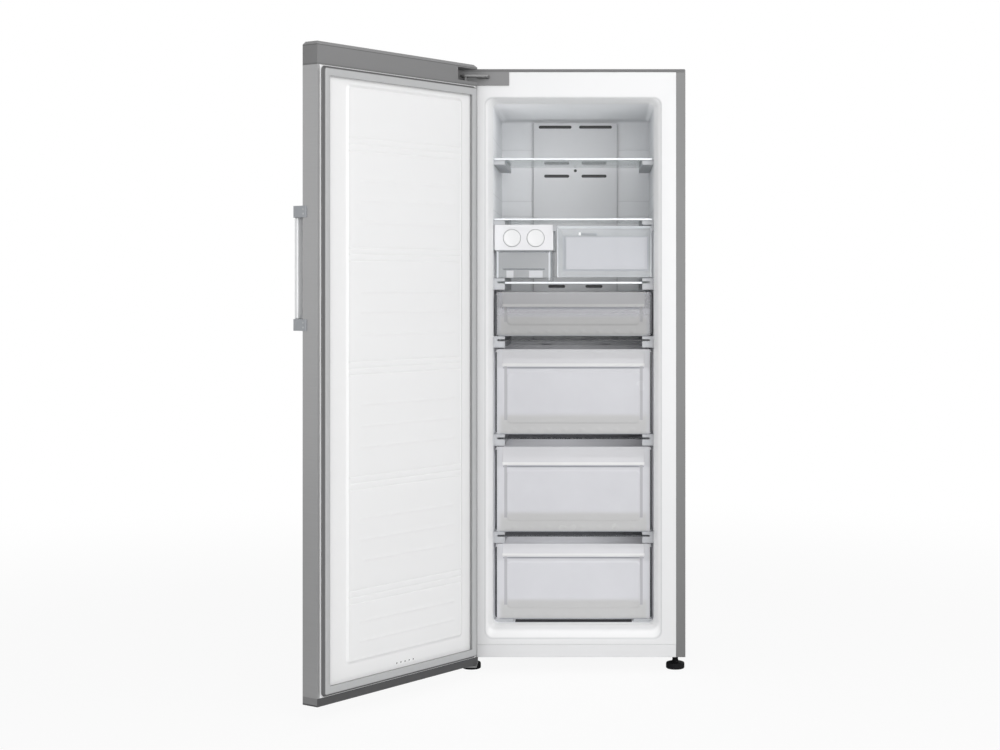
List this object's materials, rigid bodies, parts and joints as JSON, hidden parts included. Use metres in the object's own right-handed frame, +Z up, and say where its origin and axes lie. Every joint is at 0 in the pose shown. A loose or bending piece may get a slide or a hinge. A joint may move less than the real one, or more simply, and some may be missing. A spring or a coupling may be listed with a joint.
{
  "type": "upright freezer",
  "caption": "Tall free-standing upright freezer with a left-hinged open door, clear drawers, glass shelves, twist ice maker, lift-up flap and side-mounted door handle",
  "frame": {"origin": "on the floor, under the middle of the footprint of the whole object with its door open as in the picture, so it isn't the cabinet's own middle", "axes": "+X to the right as seen from the front, +Y to the back, +Z up"},
  "size_m": [0.9688, 1.1226, 1.618],
  "materials": {
    "grey_steel": "satin",
    "door_steel": "satin",
    "zinc_steel": "satin",
    "white_plastic": "gloss",
    "liner_white": "gloss",
    "dark_plastic": "satin",
    "mid_plastic": "satin",
    "black_plastic": "satin",
    "clear_plastic": "gloss",
    "shelf_glass": "gloss",
    "bright_trim": "satin",
    "seal_rubber": "matte",
    "black_rubber": "matte",
    "fin_aluminium": "satin",
    "black_enamel": "gloss",
    "foam": "matte",
    "ice_plastic": "satin"
  },
  "bodies": {
    "cabinet": {"outer_shell": "grey_steel", "back_panel": "zinc_steel", "top_front_trim": "dark_plastic", "lower_front_panel": "white_plastic", "inner_liner": "liner_white", "foam_insulation": "foam", "base_frame": "zinc_steel", "top_hinge": "zinc_steel", "hinge_screws": "zinc_steel", "hinge_cover": "mid_plastic", "bottom_hinge": "zinc_steel", "roller_brackets": "zinc_steel", "glass_shelf_1": "shelf_glass", "glass_shelf_2": "shelf_glass", "glass_shelf_3": "shelf_glass", "glass_shelf_4": "shelf_glass", "glass_shelf_5": "shelf_glass", "glass_shelf_6": "shelf_glass", "shelf_trim_1": "bright_trim", "shelf_trim_2": "bright_trim", "shelf_trim_3": "bright_trim", "shelf_supports": "white_plastic", "ice_maker_housing": "white_plastic", "flap_brackets": "white_plastic", "duct_cover": "liner_white", "evaporator_cover": "liner_white", "evaporator": "fin_aluminium", "fan_motor": "black_plastic", "compressor": "black_enamel", "compressor_mounts": "black_rubber", "drip_tray": "black_plastic", "drain_tube": "black_plastic", "machine_cover": "black_plastic", "power_inlet": "black_rubber"},
    "door": {"door_skin": "door_steel", "door_top_cap": "dark_plastic", "door_bottom_cap": "dark_plastic", "door_bushes": "black_plastic", "door_liner": "white_plastic", "door_foam": "foam", "door_gasket": "seal_rubber", "handle_bar": "door_steel", "handle_brackets": "mid_plastic", "handle_screws": "zinc_steel"},
    "drawer_one": {"drawer_1": "clear_plastic"},
    "drawer_two": {"drawer_2": "clear_plastic"},
    "drawer_three": {"drawer_3": "clear_plastic"},
    "drawer_four": {"drawer_4": "clear_plastic"},
    "ice_bin": {"ice_bucket": "clear_plastic"},
    "lift_flap": {"flap_panel": "clear_plastic"},
    "ice_twist_left": {"ice_knob_left": "white_plastic", "ice_tray_left": "ice_plastic"},
    "ice_twist_right": {"ice_knob_right": "white_plastic", "ice_tray_right": "ice_plastic"},
    "fan": {"fan_blade": "black_plastic"},
    "foot_left": {"front_foot_left": "black_plastic"},
    "foot_right": {"front_foot_right": "black_plastic"},
    "roller_left": {"rear_roller_left": "black_plastic"},
    "roller_right": {"rear_roller_right": "black_plastic"}
  },
  "joints": [
    {"name": "door_swing", "type": "hinge", "parent": "cabinet", "child": "door", "pos_m": [-0.10057, -0.06874, 0.8], "axis": [0, 0, -1], "range_deg": [-125.5, 10]},
    {"name": "drawer_one_slide", "type": "slide", "parent": "cabinet", "child": "drawer_one", "axis": [0, -1, 0], "range_m": [0, 0.3]},
    {"name": "drawer_two_slide", "type": "slide", "parent": "cabinet", "child": "drawer_two", "axis": [0, -1, 0], "range_m": [0, 0.3]},
    {"name": "drawer_three_slide", "type": "slide", "parent": "cabinet", "child": "drawer_three", "axis": [0, -1, 0], "range_m": [0, 0.3]},
    {"name": "drawer_four_slide", "type": "slide", "parent": "cabinet", "child": "drawer_four", "axis": [0, -1, 0], "range_m": [0, 0.23]},
    {"name": "ice_bin_slide", "type": "slide", "parent": "cabinet", "child": "ice_bin", "axis": [0, -1, 0], "range_m": [0, 0.25]},
    {"name": "flap_lift", "type": "hinge", "parent": "cabinet", "child": "lift_flap", "pos_m": [0.26793, 0.03376, 1.188], "axis": [-1, 0, 0], "range_deg": [0, 90]},
    {"name": "ice_twist_left_turn", "type": "hinge", "parent": "cabinet", "child": "ice_twist_left", "pos_m": [0.01793, 0.03126, 1.162], "axis": [0, 1, 0], "range_deg": [0, 150], "stiffness_Nm_per_rad": 0.1},
    {"name": "ice_twist_right_turn", "type": "hinge", "parent": "cabinet", "child": "ice_twist_right", "pos_m": [0.08193, 0.03126, 1.162], "axis": [0, 1, 0], "range_deg": [0, 150], "stiffness_Nm_per_rad": 0.1},
    {"name": "fan_spin", "type": "hinge", "parent": "cabinet", "child": "fan", "pos_m": [0.18443, 0.43526, 0.815], "axis": [0, 1, 0], "continuous": true},
    {"name": "foot_left_screw", "type": "hinge", "parent": "cabinet", "child": "foot_left", "pos_m": [-0.09057, 0.02326, 0.014], "axis": [0, 0, 1], "continuous": true},
    {"name": "foot_right_screw", "type": "hinge", "parent": "cabinet", "child": "foot_right", "pos_m": [0.45943, 0.02326, 0.014], "axis": [0, 0, 1], "continuous": true},
    {"name": "roller_left_spin", "type": "hinge", "parent": "cabinet", "child": "roller_left", "pos_m": [-0.07757, 0.51626, 0.02], "axis": [1, 0, 0], "continuous": true},
    {"name": "roller_right_spin", "type": "hinge", "parent": "cabinet", "child": "roller_right", "pos_m": [0.44643, 0.51626, 0.02], "axis": [1, 0, 0], "continuous": true}
  ]
}
